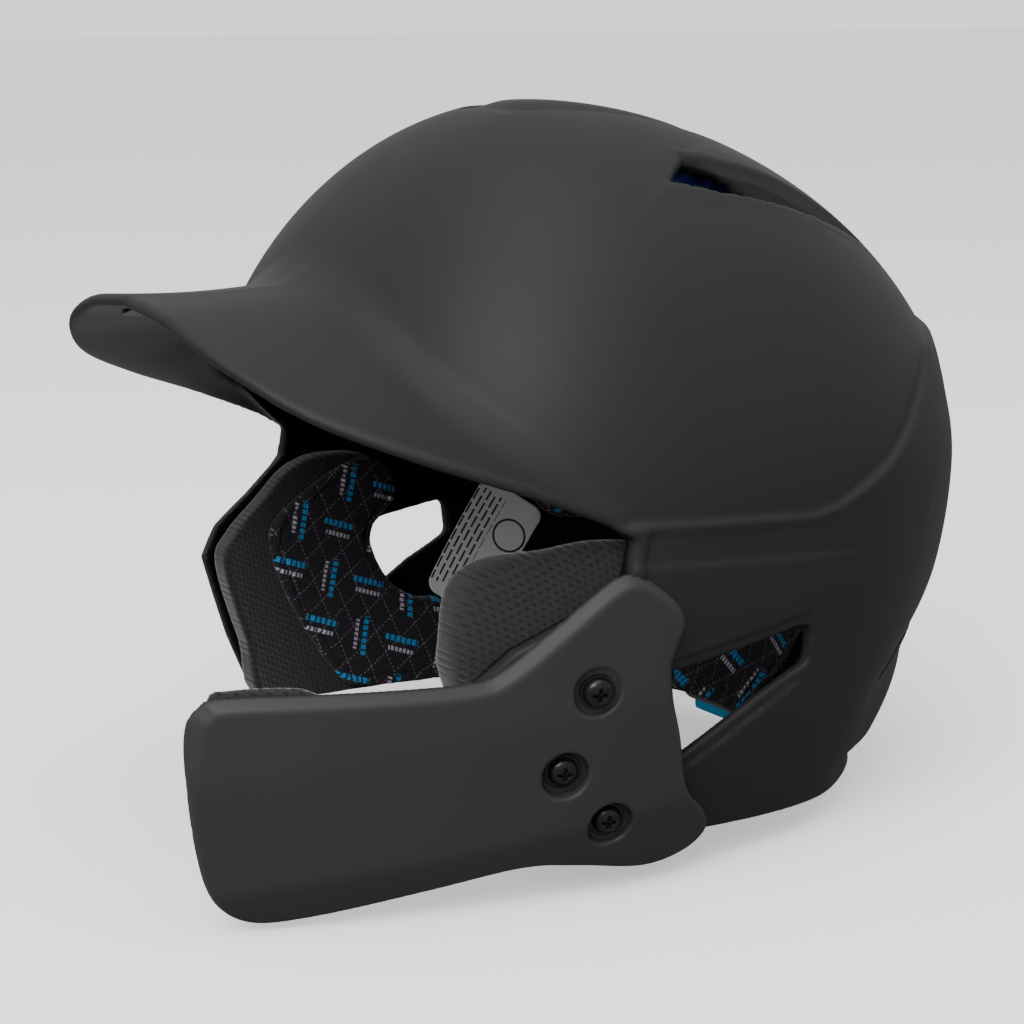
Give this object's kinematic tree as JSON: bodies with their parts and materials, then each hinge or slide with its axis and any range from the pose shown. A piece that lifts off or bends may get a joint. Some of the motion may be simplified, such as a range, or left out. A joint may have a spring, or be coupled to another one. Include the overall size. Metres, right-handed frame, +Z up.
{
  "type": "batting helmet",
  "caption": "Baseball batting helmet: one-piece shell with brim, crown vents and two ear flaps, foam liner pads, and a jaw guard screwed to the left ear flap.",
  "frame": {"origin": "centre of the dome, on the symmetry plane, at the level where the dome is widest (the middle of the wearer's head)", "axes": "+Z up, -Y forward (towards the brim), +X to the wearer's left (the jaw guard's side)"},
  "size_m": [0.2079, 0.2746, 0.2031],
  "materials": {
    "shell": "matt charcoal black outside, gloss black inside",
    "guard": "matt charcoal black",
    "black_steel": "black oxide, glossy",
    "zinc_steel": "bright zinc",
    "mesh_foam": "dark grey spacer mesh over foam",
    "printed_fabric": "black knit with fine diagonal lines and small cyan and white marks",
    "blue_foam": "blue knit over foam",
    "light_blue_foam": "light blue closed-cell foam",
    "grey_foam": "grey foam with a stitched edge",
    "black_foam": "black closed-cell foam",
    "label": "silver-grey film"
  },
  "bodies": {
    "shell": {"outer_shell": "shell", "guard_tee_nuts": "zinc_steel", "left_ear_pad_base": "mesh_foam", "right_ear_pad_base": "mesh_foam", "left_ear_pad_cover": "printed_fabric", "right_ear_pad_cover": "printed_fabric", "front_pad_base": "blue_foam", "front_pad_cover": "printed_fabric", "left_side_pad": "printed_fabric", "right_side_pad": "printed_fabric", "crown_front_pad": "blue_foam", "crown_rear_pad": "blue_foam", "nape_pad_backing": "black_foam", "nape_pad_foam": "light_blue_foam", "nape_pad_middle": "grey_foam", "nape_pad_cover": "printed_fabric", "fitting_label": "label", "brim_label": "label"},
    "jaw_guard": {"jaw_guard": "guard", "guard_cushion": "mesh_foam"},
    "upper_washer": {"upper_screw_washer": "black_steel"},
    "upper_screw": {"upper_guard_screw": "black_steel"},
    "middle_washer": {"middle_screw_washer": "black_steel"},
    "middle_screw": {"middle_guard_screw": "black_steel"},
    "lower_washer": {"lower_screw_washer": "black_steel"},
    "lower_screw": {"lower_guard_screw": "black_steel"}
  },
  "joints": [
    {"name": "guard_removal", "type": "slide", "parent": "shell", "child": "jaw_guard", "axis": [0.9403, -0.2696, -0.2079], "range_m": [0, 0.05]},
    {"name": "upper_screw_travel", "type": "slide", "parent": "jaw_guard", "child": "upper_washer", "axis": [0.9403, -0.2696, -0.2079], "range_m": [0, 0.00699]},
    {"name": "upper_screw_turn", "type": "hinge", "parent": "upper_washer", "child": "upper_screw", "pos_m": [0.09977, -0.0422, -0.0403], "axis": [0.9403, -0.2696, -0.2079], "range_deg": [0, 3600]},
    {"name": "middle_screw_travel", "type": "slide", "parent": "jaw_guard", "child": "middle_washer", "axis": [0.9403, -0.2696, -0.2079], "range_m": [0, 0.00699]},
    {"name": "middle_screw_turn", "type": "hinge", "parent": "middle_washer", "child": "middle_screw", "pos_m": [0.09552, -0.0492, -0.0628], "axis": [0.9403, -0.2696, -0.2079], "range_deg": [0, 3600]},
    {"name": "lower_screw_travel", "type": "slide", "parent": "jaw_guard", "child": "lower_washer", "axis": [0.9403, -0.2696, -0.2079], "range_m": [0, 0.00699]},
    {"name": "lower_screw_turn", "type": "hinge", "parent": "lower_washer", "child": "lower_screw", "pos_m": [0.09568, -0.035, -0.0789], "axis": [0.9403, -0.2696, -0.2079], "range_deg": [0, 3600]}
  ],
  "couplings": [
    {"joint": "upper_screw_turn", "follows": "upper_screw_travel", "rad_per_m": 8976},
    {"joint": "middle_screw_turn", "follows": "middle_screw_travel", "rad_per_m": 8976},
    {"joint": "lower_screw_turn", "follows": "lower_screw_travel", "rad_per_m": 8976}
  ]
}
